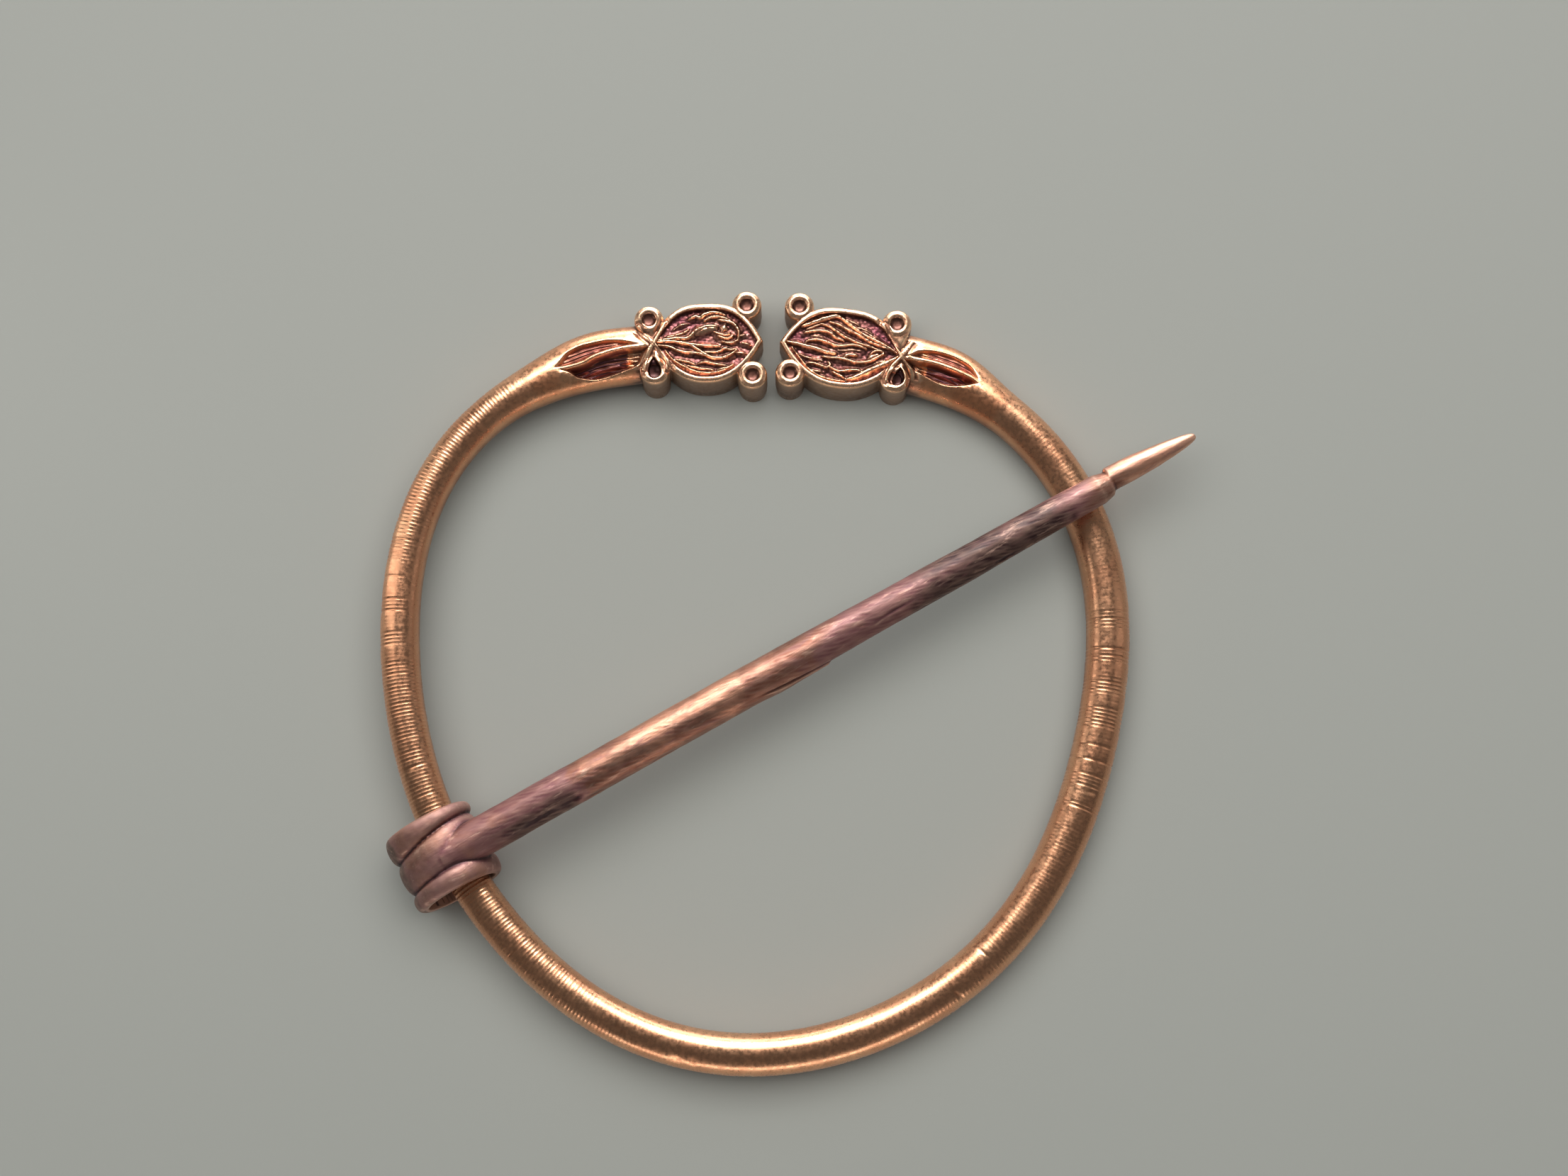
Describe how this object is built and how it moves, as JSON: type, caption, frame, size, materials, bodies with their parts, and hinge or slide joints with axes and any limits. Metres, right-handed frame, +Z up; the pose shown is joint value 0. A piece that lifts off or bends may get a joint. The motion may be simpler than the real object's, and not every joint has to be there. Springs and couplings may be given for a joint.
{
  "type": "penannular brooch",
  "caption": "Bronze penannular brooch: a ribbed hand-bent hoop ending in ornamented heads with bosses, and a long pin whose rolled head swings round the hoop",
  "frame": {"origin": "centre of the brooch's bounding box, on the ground that it lies on", "axes": "+Z up out of the brooch's front, +X along its longer side towards the pin's tip, +Y towards the two heads at the gap"},
  "size_m": [0.0764, 0.0738, 0.0086],
  "materials": {
    "hoop_bronze": "worn golden to copper-coloured bronze, satin, with darker recesses",
    "pin_bronze": "purple-brown patinated bronze, satin, golden along its middle"
  },
  "bodies": {
    "ring": {"hoop": "hoop_bronze"},
    "pin": {"pin": "pin_bronze"}
  },
  "joints": [
    {"name": "pin_swing", "type": "hinge", "parent": "ring", "child": "pin", "pos_m": [-0.03165, -0.01705, 0.00425], "axis": [0.4883, -0.8727, -0.0066], "range_deg": [0, 350]}
  ]
}
